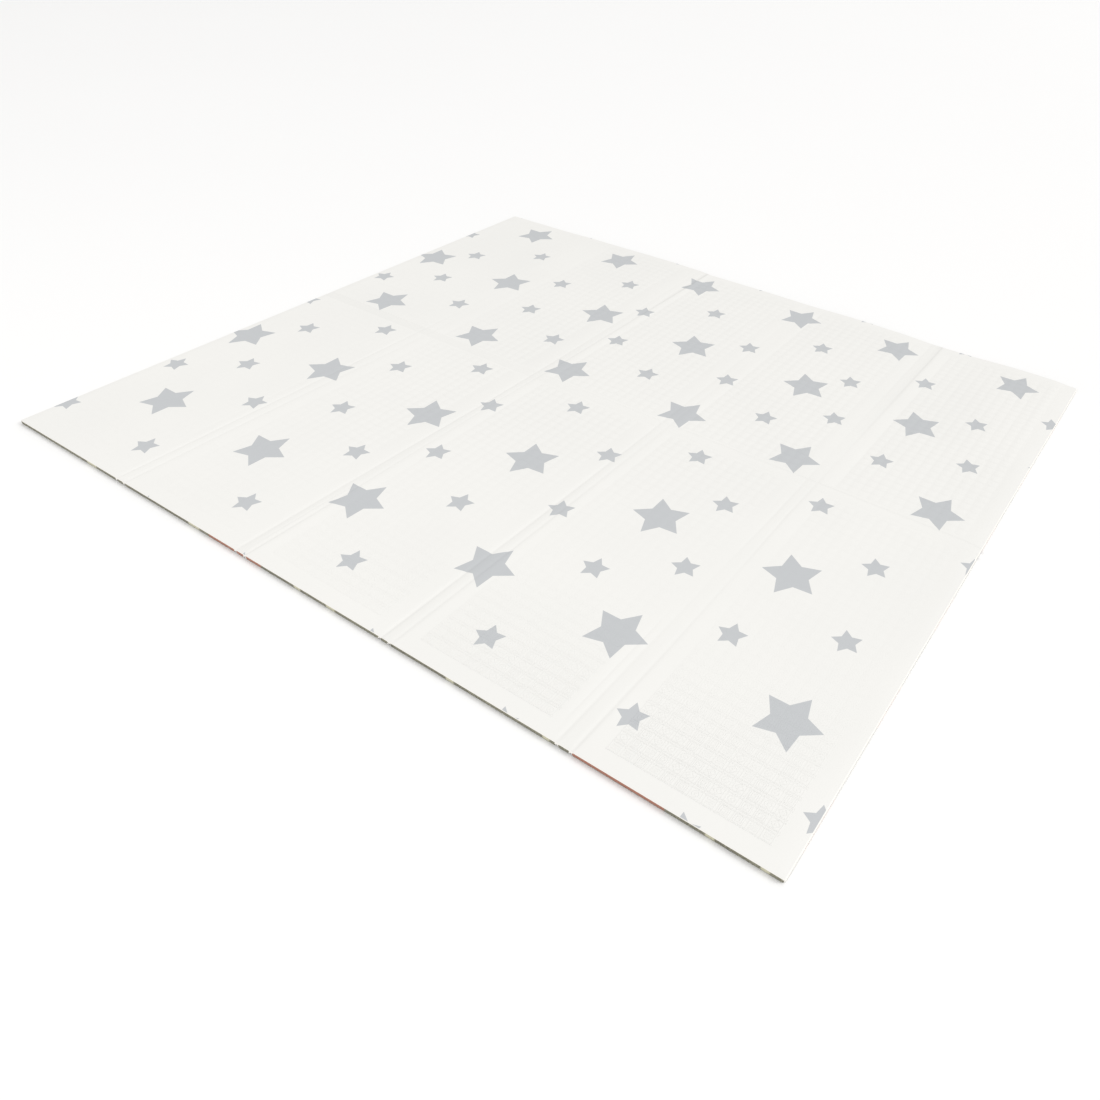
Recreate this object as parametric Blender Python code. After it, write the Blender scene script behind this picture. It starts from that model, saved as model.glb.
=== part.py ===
# Folding foam play mat, opened out flat on the floor.
# Metres, +Z up. The origin is on the floor under the middle of the mat, +X runs along the
# front edge and +Y to the back edge. One piece of foam with a film on both faces: five panels
# by two, marked off by pressed pairs of fold lines.

import math

import bmesh
import bpy

# Overall sizes
MAT_WIDTH = 2.000
MAT_DEPTH = 1.800
MAT_THICKNESS = 0.010

# Rim: the edges of both faces are rounded over, and a band along the rim is pressed a little
# thinner, so that the part of the underside that lies on the floor is a plain rectangle
CORNER_RADIUS = 0.005
RIM_ROUND = 0.0018
RIM_BAND = 0.016
RIM_PRESS_TOP = 0.0008
RIM_PRESS_UNDER = 0.0005
RIM_STATIONS = (0.0, 0.0005, RIM_ROUND, CORNER_RADIUS, 0.0100, RIM_BAND)

# Fold lines: each fold is two pressed troughs with a narrow strip between them, which lets
# the panels lie on each other when the mat is closed. The troughs are shallow on the top
# face and deep on the underside.
TROUGH_HALF_WIDTH = 0.0060
TROUGH_TOP_DEPTH = 0.0013
TROUGH_UNDER_DEPTH = 0.0060
TROUGH_STATIONS = (-1.0, -0.5, 0.0, 0.5, 1.0)
CROSS_FOLD_Y = 0.0210
CROSS_FOLD_SPACING = 0.0250
# name, place along the front edge, distance between its two troughs
FOLDS = (
    ("first", -0.6060, 0.0265),
    ("second", -0.2065, 0.0280),
    ("third", 0.1945, 0.0240),
    ("fourth", 0.6010, 0.0285),
)

# The back edge keeps a memory of the folds and stands off the floor between its corners and
# the fourth fold, while the front half lies flat. place along the back edge, height off the
# floor
BACK_LIFTS = (
    (-1.000, 0.0000),
    (-0.980, 0.0000),
    (-0.800, 0.0012),
    (-0.620, 0.0048),
    (-0.330, 0.0078),
    (-0.230, 0.0068),
    (-0.170, 0.0035),
    (0.000, 0.0045),
    (0.180, 0.0036),
    (0.340, 0.0060),
    (0.480, 0.0040),
    (0.600, 0.0000),
    (0.680, 0.0000),
    (0.860, 0.0045),
    (0.940, 0.0038),
    (0.980, 0.0000),
    (1.000, 0.0000),
)
LIFT_STARTS_Y = 0.080

# How finely the flat stretches between the folds are divided
PANEL_STATIONS = 4
FRONT_STATIONS = 3
BACK_STATIONS = 6

FILM_COLOUR = (0.894, 0.880, 0.855, 1.0)
FILM_ROUGHNESS = 0.55

HALF_WIDTH = MAT_WIDTH / 2
HALF_DEPTH = MAT_DEPTH / 2


def clear_scene():
    for obj in list(bpy.data.objects):
        bpy.data.objects.remove(obj, do_unlink=True)


def film_material():
    material = bpy.data.materials.new("printed_film")
    material.use_nodes = True
    shader = material.node_tree.nodes["Principled BSDF"]
    shader.inputs["Base Color"].default_value = FILM_COLOUR
    shader.inputs["Roughness"].default_value = FILM_ROUGHNESS
    shader.inputs["Metallic"].default_value = 0.0
    material.diffuse_color = FILM_COLOUR
    return material


def trough_lines(centre, spacing):
    return (centre - spacing / 2, centre + spacing / 2)


def fold_lines():
    """Every trough that runs from the front edge to the back edge."""
    return [line for _, centre, spacing in FOLDS for line in trough_lines(centre, spacing)]


def cross_lines():
    """The two troughs that run from side to side."""
    return list(trough_lines(CROSS_FOLD_Y, CROSS_FOLD_SPACING))


def between(low, high, count):
    """Evenly spaced places strictly between two others."""
    return [low + (high - low) * (i + 1) / (count + 1) for i in range(count)]


def stations(half_length, lines, counts):
    """The grid's places along one side: the rim, each trough's section and the flats."""
    near = [-half_length + d for d in RIM_STATIONS]
    far = [half_length - d for d in reversed(RIM_STATIONS)]
    troughs = [[line + s * TROUGH_HALF_WIDTH for s in TROUGH_STATIONS] for line in lines]
    blocks = [near] + troughs + [far]
    places = []
    for i, block in enumerate(blocks):
        places += block
        if i + 1 < len(blocks) and counts[i]:
            places += between(block[-1], blocks[i + 1][0], counts[i])
    return places


def side_stations():
    """Along the front edge: flats between folds, and nothing on the strips inside a fold."""
    counts = [PANEL_STATIONS, 0] * len(FOLDS) + [PANEL_STATIONS]
    return stations(HALF_WIDTH, fold_lines(), counts)


def depth_stations():
    return stations(HALF_DEPTH, cross_lines(), [FRONT_STATIONS, 0, BACK_STATIONS])


def trough_shape(place, lines):
    """1 at the bottom of a trough, 0 outside it, with a rounded section between."""
    nearest = min(abs(place - line) for line in lines)
    if nearest >= TROUGH_HALF_WIDTH:
        return 0.0
    return 0.5 + 0.5 * math.cos(math.pi * nearest / TROUGH_HALF_WIDTH)


def fold_shape(x, y):
    along = trough_shape(x, fold_lines())
    across = trough_shape(y, cross_lines())
    return 1.0 - (1.0 - along) * (1.0 - across)


def ease(t):
    t = min(max(t, 0.0), 1.0)
    return t * t * (3.0 - 2.0 * t)


def lift(x, y):
    """Height of the underside off the floor."""
    for (x0, low), (x1, high) in zip(BACK_LIFTS, BACK_LIFTS[1:]):
        if x <= x1:
            edge = low + (high - low) * ease((x - x0) / (x1 - x0))
            return edge * ease((y - LIFT_STARTS_Y) / (HALF_DEPTH - LIFT_STARTS_Y))
    return 0.0


def corner_steps(x, y):
    """How far into the corner's square a place is along each side, 0 to 1."""
    u = max(0.0, abs(x) - (HALF_WIDTH - CORNER_RADIUS)) / CORNER_RADIUS
    v = max(0.0, abs(y) - (HALF_DEPTH - CORNER_RADIUS)) / CORNER_RADIUS
    return u, v


def rounded_place(x, y):
    """Draws the square corners in to a quarter circle."""
    u, v = corner_steps(x, y)
    if u == 0.0 or v == 0.0:
        return x, y
    across = HALF_WIDTH - CORNER_RADIUS + CORNER_RADIUS * u * math.sqrt(1 - v * v / 2)
    along = HALF_DEPTH - CORNER_RADIUS + CORNER_RADIUS * v * math.sqrt(1 - u * u / 2)
    return math.copysign(across, x), math.copysign(along, y)


def rim_distance(x, y):
    """Distance in from the rim, following the quarter circles at the corners."""
    u, v = corner_steps(x, y)
    if u == 0.0 or v == 0.0:
        return min(HALF_WIDTH - abs(x), HALF_DEPTH - abs(y))
    return CORNER_RADIUS * (1.0 - math.sqrt(u * u + v * v - u * u * v * v))


def rim_fall(distance):
    """How far each face has curved towards the other near the rim."""
    t = min(distance / RIM_ROUND, 1.0)
    return RIM_ROUND * (1.0 - math.sqrt(max(0.0, 1.0 - (1.0 - t) ** 2)))


def face_depth(x, y, rim_press, trough_depth):
    """How far a face lies in from its own plane: the rim's rounding, or a trough."""
    distance = rim_distance(x, y)
    press = rim_press * (1.0 - ease(distance / RIM_BAND))
    return max(rim_fall(distance) + press, trough_depth * fold_shape(x, y))


def top_height(x, y):
    return MAT_THICKNESS - face_depth(x, y, RIM_PRESS_TOP, TROUGH_TOP_DEPTH) + lift(x, y)


def under_height(x, y):
    return face_depth(x, y, RIM_PRESS_UNDER, TROUGH_UNDER_DEPTH) + lift(x, y)


def mat_mesh():
    """A grid moved to its stations, extruded to two faces, and shaped by the height rules."""
    across = side_stations()
    along = depth_stations()
    bm = bmesh.new()
    bmesh.ops.create_grid(
        bm, x_segments=len(across) - 1, y_segments=len(along) - 1, size=1.0
    )
    for vertex in bm.verts:
        column = round((vertex.co.x + 1.0) / 2 * (len(across) - 1))
        row = round((vertex.co.y + 1.0) / 2 * (len(along) - 1))
        vertex.co.xy = (across[column], along[row])
    raised = bmesh.ops.extrude_face_region(bm, geom=bm.faces[:], use_keep_orig=True)
    top = [item for item in raised["geom"] if isinstance(item, bmesh.types.BMVert)]
    bmesh.ops.translate(bm, verts=top, vec=(0, 0, MAT_THICKNESS))
    for vertex in bm.verts:
        x, y, z = vertex.co
        height = top_height(x, y) if z > MAT_THICKNESS / 2 else under_height(x, y)
        vertex.co = (*rounded_place(x, y), height)
    bmesh.ops.recalc_face_normals(bm, faces=bm.faces[:])
    mesh = bpy.data.meshes.new("play_mat")
    bm.to_mesh(mesh)
    bm.free()
    return mesh


def build():
    clear_scene()
    mesh = mat_mesh()
    mesh.materials.append(film_material())
    mesh.shade_smooth()
    mesh.set_sharp_from_angle(angle=math.radians(40))
    mat = bpy.data.objects.new("play_mat", mesh)
    collection = bpy.data.collections.new("baby_play_mat")
    bpy.context.scene.collection.children.link(collection)
    collection.objects.link(mat)


build()
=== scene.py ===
# Folding foam play mat, opened out flat on a pale studio floor.
# Metres, +Z up. The origin is on the floor under the middle of the mat, +X runs along the
# front edge and +Y to the back edge.

import math

import bpy
import numpy as np
from mathutils import Matrix, Vector


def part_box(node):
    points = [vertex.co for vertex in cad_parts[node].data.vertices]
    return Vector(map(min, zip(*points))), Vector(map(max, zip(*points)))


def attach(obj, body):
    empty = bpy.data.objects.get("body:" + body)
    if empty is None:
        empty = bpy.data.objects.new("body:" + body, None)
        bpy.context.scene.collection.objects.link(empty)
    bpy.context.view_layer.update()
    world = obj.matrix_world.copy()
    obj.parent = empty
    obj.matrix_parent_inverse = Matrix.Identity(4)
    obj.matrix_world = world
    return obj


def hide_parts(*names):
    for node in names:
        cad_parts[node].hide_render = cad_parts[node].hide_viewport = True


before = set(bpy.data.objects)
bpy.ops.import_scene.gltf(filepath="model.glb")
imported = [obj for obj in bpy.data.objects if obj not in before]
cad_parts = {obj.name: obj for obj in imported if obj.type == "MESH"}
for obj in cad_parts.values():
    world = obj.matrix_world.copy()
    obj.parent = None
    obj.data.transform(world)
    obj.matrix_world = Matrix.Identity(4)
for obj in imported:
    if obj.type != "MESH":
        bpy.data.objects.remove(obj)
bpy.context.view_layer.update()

# Mat: the overall sizes come from the frame, the rest are the foam's own
matLow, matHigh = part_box("play_mat")
halfWidth = (matHigh.x - matLow.x) / 2
halfDepth = (matHigh.y - matLow.y) / 2

mat = {
    "thickness": 0.010,
    "cornerRadius": 0.005,
    "rimRound": 0.0018,        # both faces round over this far in from the edge
    "rimBand": 0.016,          # and are sealed a little thinner over this far
    "rimPressTop": 0.0008,
    "rimPressUnder": 0.0005,
    "rimSteps": (0.0, 0.0003, 0.0008, 0.0013, 0.0018, 0.0032, 0.0050, 0.0100, 0.0160),
    "sealTo": 0.0003,          # the underside's film wraps the front and back edges up to here
    "foamTo": 0.0013,          # then a line of bare foam, which also stands in for the highlight along the seam, then the printed film
    # how far a face's normal points up or down: less than this is the edge, more is a face
    "level": 0.02,
    "steep": 0.5,
    "cutSteep": 0.8,
    "cutWidth": 0.6,           # share of a trough over which the films are cut at the edge
    "swell": 0.00035,          # soft unevenness of the top face
    "swellFrom": 0.100,        # which fades out this near the rim
    "swellDrop": 0.6,
    # the unevenness as waves: share, turns along the front edge, turns along the side, start
    "waves": ((0.5, 9.1, 2.3, 1.0), (0.3, -5.7, 14.3, 0.4), (0.2, 21.0, 11.0, 2.2)),
    "leastStep": 0.0007,       # fine places of the grid are at least this far apart
    "slack": 1e-5,             # places nearer than this are the same
}

# Folds: pairs of pressed troughs, even on the underside and uneven on the top face
folds = {
    "halfWidth": 0.0060,
    "topDepth": 0.0011,
    "underDepth": 0.0060,
    "lipHeight": 0.00020,      # the face swells beside each trough, and between the two
    "crossing": 0.3,           # share of the weaker fold that is added where two cross
    "steps": (-2.6, -2.0, -1.5, -1.0, -0.7, -0.4, -0.15, 0.0, 0.15, 0.4, 0.7, 1.0, 1.5, 2.0, 2.6),
    # the long folds are described at these places from the front edge to the back edge
    "at": (-0.90, -0.62, -0.37, -0.12, 0.18, 0.45, 0.75, 0.90),
    # place along the front edge, distance between its troughs, how strongly the left and
    # the right trough are pressed, how far each leans sideways on the top face, and how
    # much painted shade darkens the strip between them
    "lines": (
        (
            -0.6060, 0.0265,
            (0.75, 0.70, 0.65, 0.60, 0.20, 0.20, 0.10, 0.10),
            (0.60, 0.50, 0.45, 0.35, 0.15, 0.15, 0.15, 0.15),
            (0.0010, 0.0030, 0.0040, 0.0060, 0.0060, 0.0050, 0.0040, 0.0030),
            (0.0020, 0.0020, 0.0050, 0.0090, 0.0060, 0.0050, 0.0040, 0.0030),
            0.0,
        ),
        (
            -0.2065, 0.0280,
            (0.70, 0.55, 0.65, 0.70, 0.45, 0.30, 0.20, 0.20),
            (1.20, 0.70, 0.55, 0.55, 0.65, 0.65, 1.00, 1.10),
            (0.0020, 0.0030, 0.0080, 0.0120, 0.0130, 0.0120, 0.0110, 0.0100),
            (0.0000, 0.0020, 0.0010, 0.0000, 0.0060, 0.0090, 0.0110, 0.0110),
            1.0,
        ),
        (
            0.1945, 0.0240,
            (1.10, 0.75, 0.80, 0.65, 0.30, 0.30, 0.10, 0.10),
            (0.80, 0.80, 0.80, 0.45, 0.35, 0.15, 0.10, 0.10),
            (0.0040, 0.0070, 0.0090, 0.0100, 0.0090, 0.0080, 0.0060, 0.0040),
            (0.0050, 0.0070, 0.0080, 0.0080, 0.0080, 0.0080, 0.0060, 0.0040),
            0.6,
        ),
        (
            0.6010, 0.0285,
            (0.70, 0.30, 0.12, 0.45, 0.08, 0.25, 0.35, 0.40),
            (1.10, 0.55, 0.25, 0.60, 0.18, 0.55, 1.00, 1.10),
            (-0.0030, -0.0010, 0.0010, 0.0040, 0.0020, 0.0010, 0.0000, 0.0000),
            (0.0010, 0.0040, 0.0020, -0.0020, 0.0000, 0.0000, 0.0000, 0.0000),
            0.5,
        ),
    ),
    "leanOver": 0.045,         # the lean fades out this far from a trough
    "leanRim": 0.05,           # and the cross fold's lean this near the rim
    # painted shade: how dark the film is painted in a trough and on the strip between two, and
    # how far past a trough's middle the strip reaches and over what it fades
    "troughShade": 0.7,
    "stripShade": 1.1,
    "stripPast": 0.001,
    "stripFade": 0.004,
    # towards the back the right trough of two folds lies in a soft line of painted shade: the fold,
    # how dark it is painted at the places above, how far to the left of the trough it lies
    "softShadeLines": (
        (1, (0.0, 0.0, 0.0, 0.0, 0.50, 0.85, 2.00, 2.20), -0.0008),
        (3, (0.0, 0.0, 0.0, 0.20, 0.05, 0.75, 1.40, 1.50), 0.0030),
    ),
    "softShadeHalf": 0.0110,
    # the cross fold the same way, from the left side to the right side
    "crossAt": (-1.00, -0.80, -0.40, 0.00, 0.40, 0.80, 1.00),
    "cross": (
        0.0210, 0.0250,
        (0.30, 0.30, 0.30, 0.25, 0.25, 0.20, 0.20),
        (0.80, 0.80, 0.30, 0.35, 0.65, 0.75, 0.75),
    ),
    "crossLean": (0.0000, 0.0040),
    # painted shade on the cross fold's strip, at the places above
    "crossStripShade": (0.52, 0.52, 0.39, 0.13, 0.00, 0.00, 0.00),
    # single creases beside the folds: place, from, to, depth
    "creaseHalf": 0.0024,
    "creaseSteps": (-1.0, -0.5, 0.0, 0.5, 1.0),
    "creaseFades": (0.06, 0.12),
    "creases": (
        (0.5690, -0.88, -0.50, 0.00030),
        (-0.2050, -0.88, -0.55, 0.00050),
        (-0.6440, -0.72, -0.15, 0.00025),
    ),
}

# The back edge keeps a memory of the folds: place along the back edge, height off the floor
lifts = {
    "startsAt": 0.080,
    "edge": (
        (-1.000, 0.0000),
        (-0.980, 0.0000),
        (-0.800, 0.0012),
        (-0.620, 0.0048),
        (-0.330, 0.0078),
        (-0.230, 0.0068),
        (-0.170, 0.0035),
        (0.000, 0.0045),
        (0.180, 0.0036),
        (0.340, 0.0060),
        (0.480, 0.0040),
        (0.600, 0.0000),
        (0.680, 0.0000),
        (0.860, 0.0045),
        (0.940, 0.0038),
        (0.980, 0.0000),
        (1.000, 0.0000),
    ),
}

# Relief: a field of pressed squares inside each panel
tiles = {
    "size": 0.0253,
    "everyColumn": 4,          # one valley in so many is kept on the plain underside
    "everyRow": 6,
    "slope": 0.0030,           # each square slopes down to its neighbours over this far
    "valley": 0.00024,
    # how deep the squares are pressed, from front to back and from left to right: the change
    # from front to back comes further back towards the right
    "press": ((-0.62, -0.12, 0.45, 1.75), (-0.72, -0.30, 0.30, 1.15)),
    "slant": 0.45,
    # from the fields to the fold or side beside them, the front or back edge, the cross fold
    "sideMargin": 0.042,
    "frontMargin": 0.040,
    "foldMargin": 0.014,
    "numbersApart": (20, 40),  # between the numbers of the squares of one field and the next
}


def ease(t):
    t = np.clip(t, 0.0, 1.0)
    return t * t * (3.0 - 2.0 * t)


def rounded(t):
    # the section of a trough: 1 in its middle, 0 from 1 outwards
    return np.where(t < 1.0, 0.5 + 0.5 * np.cos(np.pi * t), 0.0)


def troughPair(fold):
    # the places of a fold's two troughs
    return [fold[0] - fold[1] / 2, fold[0] + fold[1] / 2]


def nearest(places, lines):
    # distance from each place to the nearest line
    return np.abs(np.asarray(places)[:, None] - np.asarray(lines)[None, :]).min(axis=1)


def troughShape(places, lines):
    return rounded(nearest(places, lines) / folds["halfWidth"])


def fieldLines(low, high):
    # the valley lines of one field, whole squares centred between two margins
    count = round((high - low) / tiles["size"])
    start = (low + high - count * tiles["size"]) / 2
    return [start + i * tiles["size"] for i in range(count + 1)]


foldLines = [line for fold in folds["lines"] for line in troughPair(fold)]
crossLines = troughPair(folds["cross"])
panelEdges = [-halfWidth] + foldLines + [halfWidth]
fieldColumns = [
    fieldLines(low + tiles["sideMargin"], high - tiles["sideMargin"])
    for low, high in zip(panelEdges[0::2], panelEdges[1::2])
]
fieldRows = [
    fieldLines(-halfDepth + tiles["frontMargin"], crossLines[0] - tiles["foldMargin"]),
    fieldLines(crossLines[1] + tiles["foldMargin"], halfDepth - tiles["frontMargin"]),
]


def stations(half, troughs, creases, fields, flatEvery):
    # the grid's places along one side, and those of them that the plain underside drops
    rim = [half - d for d in mat["rimSteps"]]
    kept = [-r for r in rim] + rim
    fine = []
    for line in troughs:
        for step in folds["steps"]:
            (kept if abs(step) <= 1.0 else fine).append(line + step * folds["halfWidth"])
    for line in creases:
        fine += [line + step * folds["creaseHalf"] for step in folds["creaseSteps"]]
    for lines in fields:
        for i, line in enumerate(lines):
            (kept if i % flatEvery == flatEvery // 2 else fine).append(line)
            fine += [line - tiles["slope"], line + tiles["slope"]]
    fine = [place for place in fine if nearest([place], kept)[0] > mat["leastStep"]]
    spaced = []
    for place in sorted(fine):
        if not spaced or place - spaced[-1] > mat["leastStep"]:
            spaced.append(place)
    return sorted(kept + spaced), spaced


creaseLines = [crease[0] for crease in folds["creases"]]
columns, fineColumns = stations(
    halfWidth, foldLines, creaseLines, fieldColumns, tiles["everyColumn"]
)
rows, fineRows = stations(halfDepth, crossLines, [], fieldRows, tiles["everyRow"])


def startObject(name):
    obj = bpy.context.object
    obj.name = name
    obj.data.name = name
    return obj


def applyModifier(obj, kind, **settings):
    modifier = obj.modifiers.new(kind.title(), kind)
    for key, value in settings.items():
        setattr(modifier, key, value)
    bpy.ops.object.modifier_apply(modifier=modifier.name)


def readPoints(mesh):
    points = np.empty(len(mesh.vertices) * 3)
    mesh.vertices.foreach_get("co", points)
    return points.reshape(-1, 3)


def writePoints(mesh, points):
    mesh.vertices.foreach_set("co", points.ravel())
    mesh.update()


def readFaces(mesh, what):
    # the middle or the normal of every face
    values = np.empty(len(mesh.polygons) * 3)
    mesh.polygons.foreach_get(what, values)
    return values.reshape(-1, 3)


def readCorners(mesh):
    # the place of every face corner
    vertices = np.empty(len(mesh.loops), int)
    mesh.loops.foreach_get("vertex_index", vertices)
    return readPoints(mesh)[vertices]


def cornerSteps(x, y):
    # how far into the corner's square a place is along each side, 0 to 1
    radius = mat["cornerRadius"]
    u = np.maximum(0.0, np.abs(x) - (halfWidth - radius)) / radius
    v = np.maximum(0.0, np.abs(y) - (halfDepth - radius)) / radius
    return u, v, (u > 0) & (v > 0)


def rimDistance(x, y):
    # distance in from the rim, following the quarter circles at the corners
    u, v, corner = cornerSteps(x, y)
    straight = np.minimum(halfWidth - np.abs(x), halfDepth - np.abs(y))
    curved = mat["cornerRadius"] * (1.0 - np.sqrt(np.maximum(0.0, u * u + v * v - u * u * v * v)))
    return np.where(corner, curved, straight)


def roundCorners(points):
    radius = mat["cornerRadius"]
    x, y = points[:, 0], points[:, 1]
    u, v, corner = cornerSteps(x, y)
    across = halfWidth - radius + radius * u * np.sqrt(1 - v * v / 2)
    along = halfDepth - radius + radius * v * np.sqrt(1 - u * u / 2)
    points[corner, 0] = (np.sign(x) * across)[corner]
    points[corner, 1] = (np.sign(y) * along)[corner]


def liftOf(x, y):
    height = np.zeros(len(x))
    for (x0, low), (x1, high) in zip(lifts["edge"], lifts["edge"][1:]):
        inside = (x >= x0) & (x <= x1)
        height = np.where(inside, low + (high - low) * ease((x - x0) / (x1 - x0)), height)
    return height * ease((y - lifts["startsAt"]) / (halfDepth - lifts["startsAt"]))


def squaresOf(x, y):
    # how deep the valleys between the pressed squares are, as a share of their usual depth
    across, along = np.zeros(len(x)), np.zeros(len(y))
    insideX, insideY = np.zeros(len(x), bool), np.zeros(len(y), bool)
    for lines in fieldColumns:
        across = np.maximum(across, 1.0 - nearest(x, lines) / tiles["slope"])
        insideX |= (x > lines[0] - mat["slack"]) & (x < lines[-1] + mat["slack"])
    for lines in fieldRows:
        along = np.maximum(along, 1.0 - nearest(y, lines) / tiles["slope"])
        insideY |= (y > lines[0] - mat["slack"]) & (y < lines[-1] + mat["slack"])
    (front, back, low, high), (left, right, weak, strong) = tiles["press"]
    press = np.interp(y - tiles["slant"] * x, (front, back), (low, high))
    press = press * np.interp(x, (left, right), (weak, strong))
    return press * np.maximum(across * insideY, along * insideX)


def rimDepth(x, y, rimPress):
    distance = rimDistance(x, y)
    t = np.minimum(distance / mat["rimRound"], 1.0)
    fall = mat["rimRound"] * (1.0 - np.sqrt(np.maximum(0.0, 1.0 - (1.0 - t) ** 2)))
    return fall + rimPress * (1.0 - ease(distance / mat["rimBand"]))


def underDepth(x, y):
    along, across = troughShape(x, foldLines), troughShape(y, crossLines)
    fold = 1.0 - (1.0 - along) * (1.0 - across)
    return np.maximum(rimDepth(x, y, mat["rimPressUnder"]), folds["underDepth"] * fold)


def pressedPair(fold, places, strengthAt, strengthPlaces):
    # one fold on the top face: how deep it is pressed, and how far it swells beside
    pressed, swollen = np.zeros(len(places)), np.zeros(len(places))
    for line, strengths in zip(troughPair(fold), fold[2:4]):
        strength = np.interp(strengthPlaces, strengthAt, strengths)
        t = np.abs(places - line) / folds["halfWidth"]
        pressed = np.maximum(pressed, strength * rounded(t))
        # the swell lies between one and three half widths from the trough's middle
        lip = np.where((t > 1) & (t < 3), np.sin(np.pi * (t - 1) / 2) ** 2, 0)
        swollen = np.maximum(swollen, strength * lip)
    clear = 1.0 - troughShape(places, troughPair(fold))
    return pressed, swollen * clear


def foldsOnTop(x, y):
    # how deep every fold is pressed, and how far the face swells beside it
    along, alongLip = np.zeros(len(x)), np.zeros(len(x))
    for fold in folds["lines"]:
        pressed, swollen = pressedPair(fold, x, folds["at"], y)
        along, alongLip = np.maximum(along, pressed), np.maximum(alongLip, swollen)
    across, acrossLip = pressedPair(folds["cross"], y, folds["crossAt"], x)
    pressed = np.maximum(along, across) + folds["crossing"] * np.minimum(along, across)
    alongLip = alongLip * (1.0 - troughShape(y, crossLines))
    acrossLip = acrossLip * (1.0 - troughShape(x, foldLines))
    return pressed, alongLip + acrossLip


def onStrip(places, fold):
    # 1 between a fold's two troughs
    reach = fold[1] / 2 + folds["stripPast"]
    return ease((reach - np.abs(places - fold[0])) / folds["stripFade"])


def stripShadeOf(x, y):
    # painted shade on the narrow strips between two troughs, where both are pressed
    strip = np.zeros(len(x))
    for fold in folds["lines"]:
        weaker = np.minimum(*(np.interp(y, folds["at"], strengths) for strengths in fold[2:4]))
        strip = np.maximum(strip, fold[6] * onStrip(x, fold) * np.minimum(weaker, 1.0))
    cross = onStrip(y, folds["cross"]) * np.interp(x, folds["crossAt"], folds["crossStripShade"])
    return np.maximum(strip, cross)


def softShadeLineOf(x, y):
    # how dark the soft lines of painted shade towards the back are
    soft = np.zeros(len(x))
    for index, strengths, toLeft in folds["softShadeLines"]:
        centre, spacing = folds["lines"][index][:2]
        t = np.abs(x - (centre + spacing / 2 - toLeft)) / folds["softShadeHalf"]
        soft = np.maximum(soft, rounded(t) * np.interp(y, folds["at"], strengths))
    return soft


def topHeight(x, y):
    fold, lip = foldsOnTop(x, y)
    depth = np.maximum(rimDepth(x, y, mat["rimPressTop"]), folds["topDepth"] * fold)
    depth = np.maximum(depth, tiles["valley"] * squaresOf(x, y))
    for line, start, end, creaseDepth in folds["creases"]:
        t = np.abs(x - line) / folds["creaseHalf"]
        length = ease((y - start) / folds["creaseFades"][0])
        length = length * ease((end - y) / folds["creaseFades"][1])
        depth = np.maximum(depth, creaseDepth * length * rounded(t))
    wave = sum(share * np.sin(a * x + b * y + c) for share, a, b, c in mat["waves"])
    swell = folds["lipHeight"] * lip + mat["swell"] * (wave - mat["swellDrop"])
    return mat["thickness"] - depth + ease(rimDistance(x, y) / mat["swellFrom"]) * swell


def leanOf(places, fold, leans, over):
    # how far a place moves with the two troughs beside it
    left, right = troughPair(fold)
    between = np.clip((places - left) / (right - left), 0.0, 1.0)
    outside = np.maximum(np.maximum(left - places, places - right), 0.0) / over
    away = np.cos(np.pi / 2 * np.minimum(outside, 1.0)) ** 2
    return (leans[0] + (leans[1] - leans[0]) * between) * away


def leanFolds(points, top):
    # the top face's troughs lean a little sideways, by amounts that change along them
    x, y = points[:, 0].copy(), points[:, 1].copy()
    for fold in folds["lines"]:
        leans = [np.interp(y, folds["at"], leans) for leans in fold[4:6]]
        points[:, 0] += np.where(top, leanOf(x, fold, leans, folds["leanOver"]), 0.0)
    inside = ease((halfWidth - np.abs(x)) / folds["leanRim"])
    move = leanOf(y, folds["cross"], folds["crossLean"], tiles["foldMargin"])
    points[:, 1] += np.where(top, inside * move, 0.0)


def pressedMat():
    # the flat grid, thickened, its underside made plain, then every height set
    bpy.ops.object.select_all(action="DESELECT")
    bpy.ops.mesh.primitive_grid_add(
        x_subdivisions=len(columns) - 1, y_subdivisions=len(rows) - 1, size=2
    )
    obj = startObject("playMat")
    points = readPoints(obj.data)
    column = np.rint((points[:, 0] + 1) / 2 * (len(columns) - 1)).astype(int)
    row = np.rint((points[:, 1] + 1) / 2 * (len(rows) - 1)).astype(int)
    points[:, 0] = np.array(columns)[column]
    points[:, 1] = np.array(rows)[row]
    points[:, 2] = 0.0
    writePoints(obj.data, points)
    applyModifier(obj, "SOLIDIFY", thickness=mat["thickness"], offset=-1, use_rim=True)
    plainUnderside(obj)
    points = readPoints(obj.data)
    x, y = points[:, 0].copy(), points[:, 1].copy()
    top = points[:, 2] > -mat["thickness"] / 2
    points[:, 2] = np.where(top, topHeight(x, y), underDepth(x, y)) + liftOf(x, y)
    # painted shade in the troughs, on the strips between them and along the soft lines, kept on the
    # top face's points
    foldShade = obj.data.attributes.new("foldShade", "FLOAT", "POINT")
    shade = folds["troughShade"] * foldsOnTop(x, y)[0] + folds["stripShade"] * stripShadeOf(x, y)
    shade = shade + softShadeLineOf(x, y)
    foldShade.data.foreach_set("value", np.where(top, shade, 0.0))
    roundCorners(points)
    leanFolds(points, top)
    writePoints(obj.data, points)
    return obj


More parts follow.
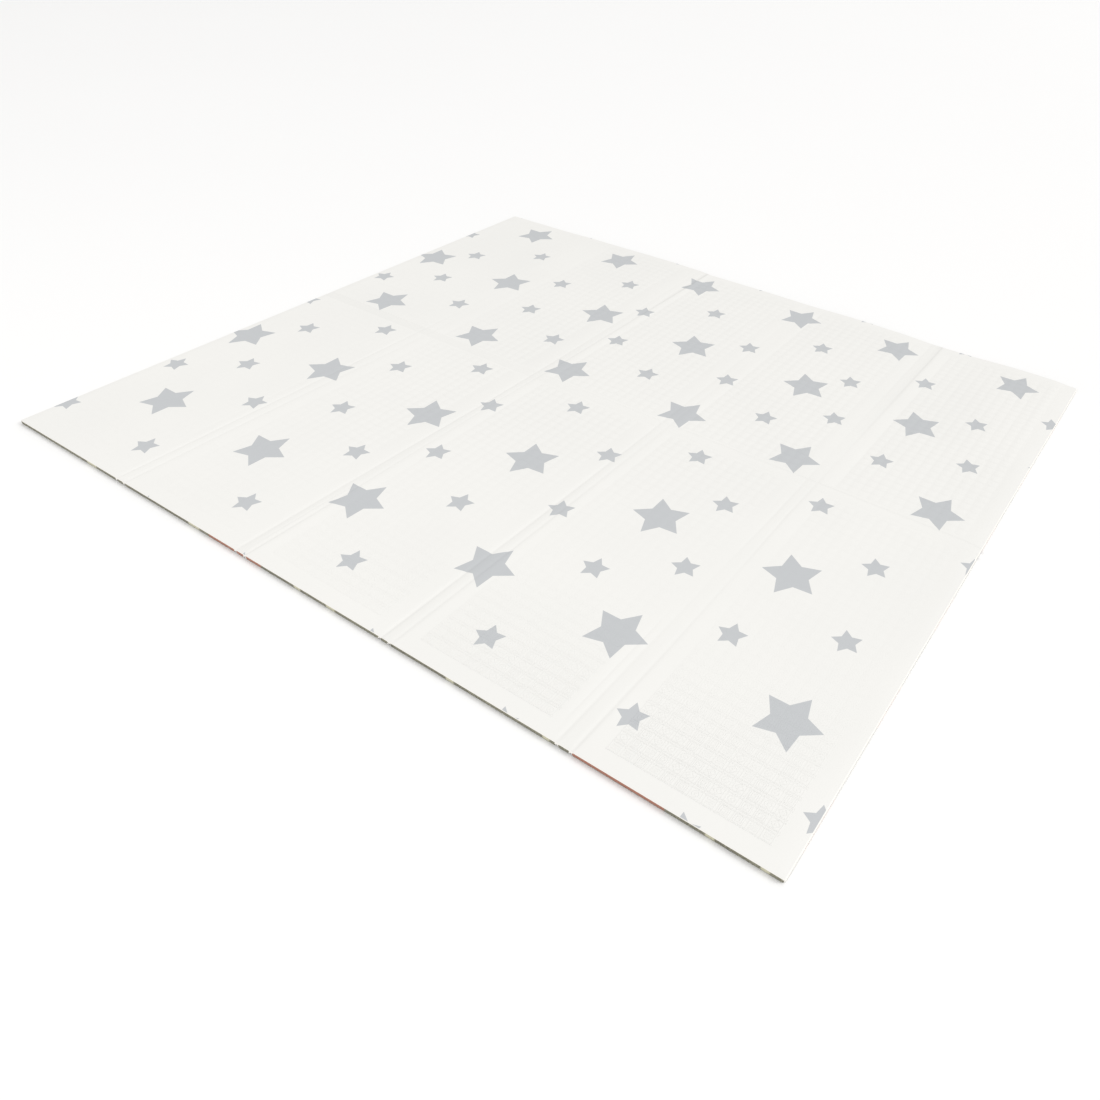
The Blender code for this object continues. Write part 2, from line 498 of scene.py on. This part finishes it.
def plainUnderside(obj):
    # takes the fine places out of the underside, inside the rim
    inner = np.array([halfWidth, halfDepth]) - mat["rimBand"] + mat["slack"]
    points = readPoints(obj.data)
    under = points[:, 2] < -mat["thickness"] / 2
    inside = under & (np.abs(points[:, 0]) < inner[0]) & (np.abs(points[:, 1]) < inner[1])
    onColumn = nearest(points[:, 0], fineColumns) < mat["slack"]
    onRow = nearest(points[:, 1], fineRows) < mat["slack"]
    ends = np.empty(len(obj.data.edges) * 2, int)
    obj.data.edges.foreach_get("vertices", ends)
    a, b = ends.reshape(-1, 2).T
    run = np.abs(points[a] - points[b])
    alongColumn = onColumn[a] & onColumn[b] & (run[:, 0] < mat["slack"])
    alongRow = onRow[a] & onRow[b] & (run[:, 1] < mat["slack"])
    taken = inside[a] & inside[b] & (alongColumn | alongRow)
    bpy.ops.object.mode_set(mode="EDIT")
    bpy.ops.mesh.select_mode(type="EDGE")
    bpy.ops.mesh.select_all(action="DESELECT")
    bpy.ops.object.mode_set(mode="OBJECT")
    obj.data.edges.foreach_set("select", taken)
    bpy.ops.object.mode_set(mode="EDIT")
    bpy.ops.mesh.dissolve_edges(use_verts=True)
    bpy.ops.object.mode_set(mode="OBJECT")


playMat = pressedMat()
playMat.data.calc_loop_triangles()
print("mat pressed:", len(playMat.data.loop_triangles), "triangles")


# Film and print. The film was laid on the foam a little out of true, so a place on the print
# is the place on the mat plus a slow drift.
drift = {
    # share, power of x, power of y
    "across": (
        (1.0018, 1, 0), (0.0065, 2, 0), (0.0130, 3, 0), (-0.0095, 0, 1), (0.0113, 0, 3),
        (-0.0031, 0, 0), (0.0032, 1, 1), (0.0088, 2, 1), (0.0213, 1, 2),
    ),
    "along": ((1.0, 0, 1), (0.0059, 1, 1)),
}


def filmPlace(x, y):
    return [sum(share * x**m * y**n for share, m, n in terms) for terms in drift.values()]


def addFilmPlaces(obj):
    corners = readCorners(obj.data)
    across, along = filmPlace(corners[:, 0], corners[:, 1])
    layer = obj.data.uv_layers.new(name="filmPlace")
    layer.data.foreach_set("uv", np.stack([across, along], axis=1).ravel())


def addTilePlaces(obj):
    # place inside the pressed squares, counted in squares, and 0 outside every field
    mesh = obj.data
    middles = readFaces(mesh, "center")
    corners = readCorners(mesh)
    sizes = np.empty(len(mesh.polygons), int)
    mesh.polygons.foreach_get("loop_total", sizes)
    owner = np.repeat(np.arange(len(sizes)), sizes)
    upward = readFaces(mesh, "normal")[:, 2] > mat["steep"]
    place = np.zeros((len(corners), 2))
    for i, across in enumerate(fieldColumns):
        for j, along in enumerate(fieldRows):
            inside = (middles[:, 0] > across[0]) & (middles[:, 0] < across[-1]) & upward
            inside &= (middles[:, 1] > along[0]) & (middles[:, 1] < along[-1])
            mine = inside[owner]
            start = np.array([across[0], along[0]])
            first = np.array(tiles["numbersApart"]) * (i, j) + 1
            place[mine] = (corners[mine, :2] - start) / tiles["size"] + first
    layer = mesh.uv_layers.new(name="tilePlace")
    layer.data.foreach_set("uv", place.ravel())


addFilmPlaces(playMat)
addTilePlaces(playMat)


def wire(tree, source, socket):
    # joins another node's output to a socket, or sets its value
    if isinstance(source, bpy.types.NodeSocket):
        tree.links.new(source, socket)
    else:
        socket.default_value = source


def calc(tree, operation, *values):
    node = tree.nodes.new("ShaderNodeMath")
    node.operation = operation
    for socket, value in zip(node.inputs, values):
        wire(tree, value, socket)
    return node.outputs[0]


def vectorCalc(tree, operation, *values):
    node = tree.nodes.new("ShaderNodeVectorMath")
    node.operation = operation
    for socket, value in zip(node.inputs, values):
        wire(tree, value, socket)
    return node.outputs["Value" if operation in ("LENGTH", "DISTANCE") else "Vector"]


def split(tree, vector):
    node = tree.nodes.new("ShaderNodeSeparateXYZ")
    wire(tree, vector, node.inputs[0])
    return node.outputs


def fade(tree, value, low, high, start=0.0, end=1.0):
    # value from low to high becomes start to end, eased and held at both ends
    node = tree.nodes.new("ShaderNodeMapRange")
    node.interpolation_type = "SMOOTHSTEP"
    for name, source in (
        ("Value", value), ("From Min", low), ("From Max", high), ("To Min", start), ("To Max", end)
    ):
        wire(tree, source, node.inputs[name])
    return node.outputs["Result"]


def blendColour(tree, share, first, second):
    node = tree.nodes.new("ShaderNodeMix")
    node.data_type = "RGBA"
    wire(tree, share, node.inputs["Factor"])
    wire(tree, first, node.inputs[6])
    wire(tree, second, node.inputs[7])
    return node.outputs[2]


def noiseOf(tree, vector, scale, detail=2.0):
    node = tree.nodes.new("ShaderNodeTexNoise")
    wire(tree, vector, node.inputs["Vector"])
    node.inputs["Scale"].default_value = scale
    node.inputs["Detail"].default_value = detail
    return node.outputs["Fac"]


def newGroup(name, inputs, outputs):
    group = bpy.data.node_groups.new(name, "ShaderNodeTree")
    for socketName, kind in inputs:
        group.interface.new_socket(socketName, in_out="INPUT", socket_type=kind)
    for socketName, kind in outputs:
        group.interface.new_socket(socketName, in_out="OUTPUT", socket_type=kind)
    return group, group.nodes.new("NodeGroupInput").outputs, group.nodes.new("NodeGroupOutput")


def useGroup(tree, group, **values):
    node = tree.nodes.new("ShaderNodeGroup")
    node.node_tree = group
    for name, value in values.items():
        wire(tree, value, node.inputs[name])
    return node.outputs


# Star print: six rows of five-pointed stars, a pair of each repeated across the film, and
# each row printed three times from the front edge to the back
stars = {
    "repeat": 0.6804,
    "stretch": 1.06,      # along over across
    "notch": 0.53,        # notch radius over tip radius
    "edge": 0.0004,       # half the width over which the ink fades
    "big": 0.0645,        # tip radius
    "small": 0.0314,
    # along the film each time, across the film in both places, size, turn in degrees
    "rows": (
        ((-0.785, -0.040, 0.654), (-0.6962, -0.3360), "small", 36.0),
        ((-0.636, 0.101, 0.795), (-0.8327, -0.4707), "big", 7.2),
        ((-0.513, 0.217, 0.920), (-0.9757, -0.6561), "small", 28.6),
        ((-0.401, 0.324, 1.040), (-0.8297, -0.4683), "small", 44.4),
        ((-0.292, 0.430, 1.150), (-0.9610, -0.6404), "big", 48.0),
        ((-0.922, -0.167, 0.525), (-0.8710, -0.5086), "small", 44.0),
    ),
}


def nearer(tree, first, second):
    # whichever of two offsets is the shorter
    sizes = [calc(tree, "ABSOLUTE", offset) for offset in (first, second)]
    pick = calc(tree, "LESS_THAN", sizes[1], sizes[0])
    gap = calc(tree, "SUBTRACT", second, first)
    return calc(tree, "MULTIPLY_ADD", gap, pick, first)


def starGroup():
    tree, given, out = newGroup(
        "star",
        (
            ("Place", "NodeSocketVector"),
            ("Across", "NodeSocketFloat"),
            ("Alongs", "NodeSocketVector"),
            ("Tip", "NodeSocketFloat"),
            ("Turn", "NodeSocketFloat"),
        ),
        (("Mask", "NodeSocketFloat"),),
    )
    place = split(tree, given["Place"])
    half = stars["repeat"] / 2
    x = calc(tree, "WRAP", calc(tree, "SUBTRACT", place[0], given["Across"]), half, -half)
    away = [calc(tree, "SUBTRACT", place[1], along) for along in split(tree, given["Alongs"])]
    y = nearer(tree, nearer(tree, away[0], away[1]), away[2])
    y = calc(tree, "DIVIDE", y, stars["stretch"])
    point = math.pi / 5  # half the angle of one point of the star
    angle = calc(tree, "SUBTRACT", calc(tree, "ARCTAN2", y, x), given["Turn"])
    folded = calc(tree, "ABSOLUTE", calc(tree, "WRAP", angle, point, -point))
    squares = [calc(tree, "MULTIPLY", value, value) for value in (x, y)]
    radius = calc(tree, "SQRT", calc(tree, "ADD", *squares))
    share = calc(tree, "DIVIDE", radius, given["Tip"])
    ahead = calc(tree, "SUBTRACT", calc(tree, "MULTIPLY", share, calc(tree, "COSINE", folded)), 1.0)
    aside = calc(tree, "MULTIPLY", share, calc(tree, "SINE", folded))
    # the straight side from a tip, at 1 and 0, to a notch
    notchAhead = 1.0 - stars["notch"] * math.cos(point)
    notchAside = stars["notch"] * math.sin(point)
    side = math.hypot(notchAhead, notchAside)
    past = calc(
        tree, "ADD",
        calc(tree, "MULTIPLY", ahead, notchAside / side),
        calc(tree, "MULTIPLY", aside, notchAhead / side),
    )
    past = calc(tree, "MULTIPLY", past, given["Tip"])
    mask = fade(tree, past, -stars["edge"], stars["edge"], 1.0, 0.0)
    tree.links.new(mask, out.inputs["Mask"])
    return tree


# Marks on each pressed square, with lengths as shares of the square
tileMarks = {
    "line": 0.024,             # half the width of a raised line
    "soft": 0.026,             # and how far it fades
    "border": 0.390,           # from the middle to the fine line just inside a side
    "borderAcross": 0.55,      # weaker along the sides that run from front to back
    "figure": 0.65,            # the figure's height as a share of the border's
    "squares": (0.27, 0.13),   # the figures: two squares, ring and dot, bars, diamond and dot
    "ring": 0.23,
    "diamond": 0.30,
    "dot": 0.075,
    "bars": 0.17,              # distance between three bars
    "barHalf": 0.26,
    "chances": (0.0, 0.34, 0.56, 0.80),
    "doming": 4.0,             # how squarely the shade keeps to the sides
}


def markLine(tree, value, centre):
    # 1 where a distance is within a line's width of the line's place
    off = calc(tree, "ABSOLUTE", calc(tree, "SUBTRACT", value, centre))
    return fade(tree, off, tileMarks["line"], tileMarks["line"] + tileMarks["soft"], 1.0, 0.0)


def tileMarkGroup():
    # the fine lines and the small raised figure on each pressed square, and the painted shade in
    # the valley round it
    tree, given, out = newGroup(
        "tileMark",
        (("Place", "NodeSocketVector"),),
        (("Lines", "NodeSocketFloat"), ("Seam", "NodeSocketFloat")),
    )
    inSquare = vectorCalc(tree, "FRACTION", given["Place"])
    local = vectorCalc(tree, "SUBTRACT", inSquare, (0.5, 0.5, 0.0))
    _, signedY, _ = split(tree, local)
    x, y, _ = split(tree, vectorCalc(tree, "ABSOLUTE", local))
    chance = tree.nodes.new("ShaderNodeTexWhiteNoise")
    chance.noise_dimensions = "2D"
    wire(tree, vectorCalc(tree, "FLOOR", given["Place"]), chance.inputs["Vector"])
    pick = chance.outputs["Value"]
    away = vectorCalc(tree, "LENGTH", local)
    box = calc(tree, "MAXIMUM", x, y)
    dot = fade(tree, away, tileMarks["dot"], tileMarks["dot"] + tileMarks["soft"], 1.0, 0.0)
    squares = calc(tree, "MAXIMUM", *[markLine(tree, box, size) for size in tileMarks["squares"]])
    ring = calc(tree, "MAXIMUM", markLine(tree, away, tileMarks["ring"]), dot)
    slope = calc(tree, "ADD", x, y)
    diamond = calc(tree, "MAXIMUM", markLine(tree, slope, tileMarks["diamond"]), dot)
    banded = calc(tree, "WRAP", signedY, tileMarks["bars"] / 2, -tileMarks["bars"] / 2)
    within = calc(
        tree, "MULTIPLY",
        calc(tree, "LESS_THAN", x, tileMarks["barHalf"]),
        calc(tree, "LESS_THAN", y, tileMarks["bars"] * 1.5),
    )
    bars = calc(tree, "MULTIPLY", markLine(tree, banded, 0.0), within)
    figures = 0.0
    for low, figure in zip(tileMarks["chances"], (squares, ring, bars, diamond)):
        chosen = calc(tree, "GREATER_THAN", pick, low)
        gap = calc(tree, "SUBTRACT", figure, figures)
        figures = calc(tree, "MULTIPLY_ADD", gap, chosen, figures)
    sides = markLine(tree, x, tileMarks["border"])
    sides = calc(tree, "MULTIPLY", sides, tileMarks["borderAcross"])
    figures = calc(tree, "MULTIPLY", figures, tileMarks["figure"])
    front = markLine(tree, y, tileMarks["border"])
    lines = calc(tree, "MAXIMUM", calc(tree, "MAXIMUM", front, sides), figures)
    domes = []
    for value in (x, y):
        rise = calc(tree, "POWER", calc(tree, "MULTIPLY", value, 2.0), tileMarks["doming"])
        domes.append(calc(tree, "SUBTRACT", 1.0, rise))
    inField = calc(tree, "GREATER_THAN", split(tree, given["Place"])[0], 0.5)
    # painted shade, darkest where the square meets its neighbours
    valleyShade = calc(tree, "SUBTRACT", 1.0, calc(tree, "MULTIPLY", *domes))
    for name, value in (("Lines", lines), ("Seam", valleyShade)):
        tree.links.new(calc(tree, "MULTIPLY", value, inField), out.inputs[name])
    return tree


starPrint = starGroup()
tileMark = tileMarkGroup()


def newMaterial(name):
    material = bpy.data.materials.new(name)
    material.use_nodes = True
    tree = material.node_tree
    return material, tree, tree.nodes["Principled BSDF"]


def uvPlace(tree, name):
    node = tree.nodes.new("ShaderNodeUVMap")
    node.uv_map = name
    return node.outputs["UV"]


def objectPlace(tree):
    return tree.nodes.new("ShaderNodeTexCoord").outputs["Object"]


def bump(tree, height, distance, normal=None):
    node = tree.nodes.new("ShaderNodeBump")
    node.inputs["Distance"].default_value = distance
    wire(tree, height, node.inputs["Height"])
    if normal is not None:
        wire(tree, normal, node.inputs["Normal"])
    return node.outputs["Normal"]


film = {
    "noiseSpan": (0.3, 0.7),   # the values of a noise between which a look changes
    "ground": (0.860, 0.854, 0.829, 1.0),
    "groundShade": (0.848, 0.843, 0.819, 1.0),
    "star": (0.539, 0.556, 0.572, 1.0),
    "cloudScale": 3.0,
    "seamShade": 0.012,        # how much painted shade darkens the valleys between the squares and the pressed folds
    "hollowShade": 0.045,      # and the pressed folds
    # the dark colour that all painted shade on the film is mixed towards
    "paintedShadeColour": (0.20, 0.20, 0.18, 1.0),
    "roughScale": 11.0,
    "roughness": (0.56, 0.68),
    "specular": 0.35,
    "lineHeight": 0.00042,
    # how sharply the lines are pressed, from front to back and from left to right
    "linePress": ((-0.86, -0.50, 1.0, 0.18), (-0.50, 0.80, 0.25, 1.0)),
    "grainScale": 900.0,
    "grainHeight": 0.00003,
}


def printedFilm():
    material, tree, shader = newMaterial("printedFilm")
    place = uvPlace(tree, "filmPlace")
    mask = 0.0
    for alongs, acrosses, size, turn in stars["rows"]:
        for across in acrosses:
            mark = useGroup(
                tree, starPrint, Place=place, Across=across, Alongs=alongs,
                Tip=stars[size], Turn=math.radians(turn),
            )["Mask"]
            mask = calc(tree, "MAXIMUM", mask, mark)
    where = objectPlace(tree)
    cloud = fade(tree, noiseOf(tree, where, film["cloudScale"], 3.0), *film["noiseSpan"])
    ground = blendColour(tree, cloud, film["ground"], film["groundShade"])
    colour = blendColour(tree, mask, ground, film["star"])
    relief = useGroup(tree, tileMark, Place=uvPlace(tree, "tilePlace"))
    fromLeft, fromFront, _ = split(tree, where)
    slanted = calc(tree, "MULTIPLY_ADD", fromLeft, -tiles["slant"], fromFront)
    presses = []
    for depth, press in ((slanted, tiles["press"]), (fromFront, film["linePress"])):
        along = fade(tree, depth, *press[0])
        presses.append(calc(tree, "MULTIPLY", along, fade(tree, fromLeft, *press[1])))
    squarePress, linePress = presses
    # painted shade in the valleys between the squares and in the pressed folds, mixed into the
    # film's colour
    valleyShade = calc(tree, "MULTIPLY", squarePress, film["seamShade"])
    shade = calc(tree, "MULTIPLY", relief["Seam"], valleyShade)
    # painted shade in the pressed folds
    foldShade = tree.nodes.new("ShaderNodeAttribute")
    foldShade.attribute_name = "foldShade"
    shade = calc(tree, "MULTIPLY_ADD", foldShade.outputs["Fac"], film["hollowShade"], shade)
    colour = blendColour(tree, shade, colour, film["paintedShadeColour"])
    shader.inputs["Specular IOR Level"].default_value = film["specular"]
    wire(tree, colour, shader.inputs["Base Color"])
    rough = noiseOf(tree, where, film["roughScale"], 4.0)
    rough = fade(tree, rough, *film["noiseSpan"], *film["roughness"])
    wire(tree, rough, shader.inputs["Roughness"])
    grain = noiseOf(tree, where, film["grainScale"])
    lines = calc(tree, "MULTIPLY", relief["Lines"], linePress)
    normal = bump(tree, lines, film["lineHeight"])
    normal = bump(tree, grain, film["grainHeight"], normal)
    wire(tree, normal, shader.inputs["Normal"])
    return material


foam = {
    "colour": (0.88, 0.85, 0.80, 1.0),
    "light": (0.93, 0.91, 0.87, 1.0),
    "roughness": 0.8,
    "cellScale": 1600.0,
    "cellHeight": 0.0001,
}


def bareFoam():
    material, tree, shader = newMaterial("bareFoam")
    cells = noiseOf(tree, objectPlace(tree), foam["cellScale"])
    wire(tree, blendColour(tree, cells, foam["colour"], foam["light"]), shader.inputs["Base Color"])
    shader.inputs["Roughness"].default_value = foam["roughness"]
    wire(tree, bump(tree, cells, foam["cellHeight"]), shader.inputs["Normal"])
    return material


# Underside: an olive print that shows only where its film is folded up over the edges
under = {
    "ground": (0.180, 0.172, 0.125, 1.0),
    "shade": (0.135, 0.128, 0.092, 1.0),
    "clay": (0.390, 0.165, 0.110, 1.0),
    "cream": (0.560, 0.540, 0.400, 1.0),
    # the print where it is folded up over the front edge: from, to, colour
    "edgeFlecks": (
        (-0.730, -0.695, "cream"),
        (-0.370, -0.335, "cream"),
        (-0.304, -0.143, "clay"),
        (-0.048, -0.030, "cream"),
        (0.042, 0.065, "cream"),
        (0.344, 0.362, "cream"),
        (0.557, 0.572, "cream"),
        (0.615, 0.794, "clay"),
        (0.867, 0.883, "cream"),
        (0.961, 0.976, "cream"),
    ),
    "fleckFade": 0.002,
    # distance between dots, radius, first dot, colour
    "dots": ((0.110, 0.020, (0.03, 0.02), "cream"), (0.290, 0.062, (0.11, 0.09), "clay")),
    "dotFade": 0.0005,
    "cloudScale": 6.0,
    "cloudSpan": (0.35, 0.65),
    "roughScale": 14.0,
    "roughness": (0.48, 0.60),
    "edgeRoughness": 0.55,
    # fine streaks of cream on the edge, and painted shade along its foot by the floor: up to,
    # fading out at, share
    "streakScale": 260.0,
    "streakSpan": (0.35, 0.75),
    "streaks": 0.35,
    "streakHeight": 0.0002,
    "footShade": (0.0020, 0.0050, 0.45),
}


def dotGroup():
    # round dots on a square grid
    tree, given, out = newGroup(
        "dots",
        (
            ("Place", "NodeSocketVector"),
            ("Start", "NodeSocketVector"),
            ("Pitch", "NodeSocketFloat"),
            ("Radius", "NodeSocketFloat"),
        ),
        (("Mask", "NodeSocketFloat"),),
    )
    half = calc(tree, "MULTIPLY", given["Pitch"], 0.5)
    x, y, _ = split(tree, vectorCalc(tree, "SUBTRACT", given["Place"], given["Start"]))
    squares = []
    for value in (x, y):
        wrapped = calc(tree, "WRAP", value, half, calc(tree, "MULTIPLY", half, -1.0))
        squares.append(calc(tree, "MULTIPLY", wrapped, wrapped))
    away = calc(tree, "SQRT", calc(tree, "ADD", *squares))
    past = calc(tree, "SUBTRACT", away, given["Radius"])
    mask = fade(tree, past, -under["dotFade"], under["dotFade"], 1.0, 0.0)
    tree.links.new(mask, out.inputs["Mask"])
    return tree


dotPrint = dotGroup()


def olive(tree, where):
    cloud = fade(tree, noiseOf(tree, where, under["cloudScale"], 3.0), *under["cloudSpan"])
    return blendColour(tree, cloud, under["ground"], under["shade"])


def undersideFilm():
    material, tree, shader = newMaterial("undersideFilm")
    where = objectPlace(tree)
    colour = olive(tree, where)
    for pitch, radius, start, tone in under["dots"]:
        mark = useGroup(
            tree, dotPrint, Place=where, Start=(*start, 0.0), Pitch=pitch, Radius=radius,
        )["Mask"]
        colour = blendColour(tree, mark, colour, under[tone])
    wire(tree, colour, shader.inputs["Base Color"])
    rough = noiseOf(tree, where, under["roughScale"], 3.0)
    rough = fade(tree, rough, *film["noiseSpan"], *under["roughness"])
    wire(tree, rough, shader.inputs["Roughness"])
    grain = noiseOf(tree, where, film["grainScale"])
    wire(tree, bump(tree, grain, film["grainHeight"]), shader.inputs["Normal"])
    return material


def edgeFilm():
    material, tree, shader = newMaterial("edgeFilm")
    where = objectPlace(tree)
    x, _, z = split(tree, where)
    colour = olive(tree, where)
    # the film is stretched over the edge, so its print breaks up into fine streaks
    streaks = noiseOf(tree, where, under["streakScale"])
    streaks = fade(tree, streaks, *under["streakSpan"], 0.0, under["streaks"])
    colour = blendColour(tree, streaks, colour, under["cream"])
    for low, high, tone in under["edgeFlecks"]:
        middle, half = (low + high) / 2, (high - low) / 2
        off = calc(tree, "ABSOLUTE", calc(tree, "SUBTRACT", x, middle))
        inFleck = fade(tree, off, half - under["fleckFade"], half + under["fleckFade"], 1.0, 0.0)
        colour = blendColour(tree, inFleck, colour, under[tone])
    # painted shade along the foot of the edge, near the floor
    footTop, footEnd, footShare = under["footShade"]
    footShade = fade(tree, z, footTop, footEnd, footShare, 0.0)
    wire(tree, blendColour(tree, footShade, colour, under["shade"]), shader.inputs["Base Color"])
    shader.inputs["Roughness"].default_value = under["edgeRoughness"]
    wire(tree, bump(tree, streaks, under["streakHeight"]), shader.inputs["Normal"])
    return material


def paintFaces(obj):
    # the printed film on top, bare foam at its edge (a line that also stands in for the highlight
    # along the seam) and on both cut ends, the underside's film below and up over the front and
    # back edges
    for material in (printedFilm(), bareFoam(), undersideFilm(), edgeFilm()):
        obj.data.materials.append(material)
    printed, bare, below, edge = range(4)
    middles = readFaces(obj.data, "center")
    distance = rimDistance(middles[:, 0], middles[:, 1])
    upward = readFaces(obj.data, "normal")[:, 2]
    # the line of bare foam at the rim is partly the foam itself and partly a painted highlight
    # along the seam
    slots = np.where(distance < mat["foamTo"], bare, printed)
    slots = np.where((upward <= mat["level"]) | (distance < mat["sealTo"]), below, slots)
    atEnd = halfWidth - np.abs(middles[:, 0]) < halfDepth - np.abs(middles[:, 1])
    rim = (slots == below) & (distance < mat["rimRound"])
    slots[rim & atEnd & (upward > -mat["steep"])] = bare
    slots[rim & ~atEnd] = edge
    # where a fold's trough reaches the edge, both films are pressed together and cut
    atTrough = nearest(middles[:, 0], foldLines) < mat["cutWidth"] * folds["halfWidth"]
    slots[rim & ~atEnd & atTrough & (np.abs(upward) < mat["cutSteep"])] = bare
    obj.data.polygons.foreach_set("material_index", slots)
    obj.data.polygons.foreach_set("use_smooth", np.ones(len(slots), bool))
    obj.data.update()


paintFaces(playMat)
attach(playMat, "root")
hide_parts("play_mat")
print("mat finished")


# Floor: a wide pale sweep
floorPlan = {
    "size": 60.0,
    "gap": 0.0002,             # under the mat
    "colour": (0.955, 0.955, 0.955, 1.0),
    "shade": (0.945, 0.945, 0.945, 1.0),
    "shadeScale": 0.8,
    "roughness": 0.9,
    "specular": 0.2,
}


def paleFloor():
    bpy.ops.object.select_all(action="DESELECT")
    bpy.ops.mesh.primitive_plane_add(size=floorPlan["size"], location=(0, 0, -floorPlan["gap"]))
    floor = startObject("studioFloor")
    bpy.ops.object.transform_apply(location=True, rotation=False, scale=False)
    material, tree, shader = newMaterial("paleFloor")
    tone = noiseOf(tree, objectPlace(tree), floorPlan["shadeScale"])
    colour = blendColour(tree, tone, floorPlan["colour"], floorPlan["shade"])
    wire(tree, colour, shader.inputs["Base Color"])
    shader.inputs["Roughness"].default_value = floorPlan["roughness"]
    shader.inputs["Specular IOR Level"].default_value = floorPlan["specular"]
    floor.data.materials.append(material)


paleFloor()


# Light: an even white room, a large far lamp from the right and back that draws the folds,
# and a weak one over the front edge
lamps = (
    # name, from, aimed at, size, power
    ("keyLamp", (30.0, 18.0, 25.0), (0.0, 0.0, 0.0), 18.0, 6400.0),
    ("nearLamp", (0.5, -4.6, 3.0), (0.1, -0.5, 0.0), 2.6, 34.0),
)
roomLight = {"colour": (1.0, 0.994, 0.984, 1.0), "strength": 0.815}


def aim(obj, target):
    direction = Vector(target) - obj.location
    obj.rotation_euler = direction.to_track_quat("-Z", "Y").to_euler()


def lightRoom():
    world = bpy.data.worlds.new("studio")
    world.use_nodes = True
    background = world.node_tree.nodes["Background"]
    background.inputs["Color"].default_value = roomLight["colour"]
    background.inputs["Strength"].default_value = roomLight["strength"]
    bpy.context.scene.world = world
    for name, place, target, size, power in lamps:
        bpy.ops.object.light_add(type="AREA", location=place)
        lamp = bpy.context.object
        lamp.name = name
        lamp.data.shape = "DISK"
        lamp.data.size = size
        lamp.data.energy = power
        aim(lamp, target)


lightRoom()
bpy.context.scene.view_settings.view_transform = "Standard"


# Camera: standing at the near right corner and looking down over the mat
shot = {
    "target": (0.4119, -0.4292, 0.0),
    "azimuth": 31.879,
    "elevation": 40.237,
    "roll": 3.512,
    "distance": 1.8178,
    "sensor": 36.0,
    "lens": 28.963,
    "shift": (-0.0727, 0.0055),
}


def placeCamera():
    bpy.ops.object.camera_add()
    camera = bpy.context.object
    camera.name = "photoCamera"
    a, e, r = (math.radians(shot[key]) for key in ("azimuth", "elevation", "roll"))
    back = Vector((math.sin(a) * math.cos(e), -math.cos(a) * math.cos(e), math.sin(e)))
    right = Vector((math.cos(a), math.sin(a), 0.0))
    up = back.cross(right)
    turned = (right * math.cos(r) + up * math.sin(r), up * math.cos(r) - right * math.sin(r), back)
    matrix = Matrix(turned).transposed().to_4x4()
    matrix.translation = Vector(shot["target"]) + back * shot["distance"]
    camera.matrix_world = matrix
    camera.data.sensor_width = shot["sensor"]
    camera.data.lens = shot["lens"]
    camera.data.shift_x, camera.data.shift_y = shot["shift"]
    bpy.context.scene.camera = camera


placeCamera()
print("room and camera set")
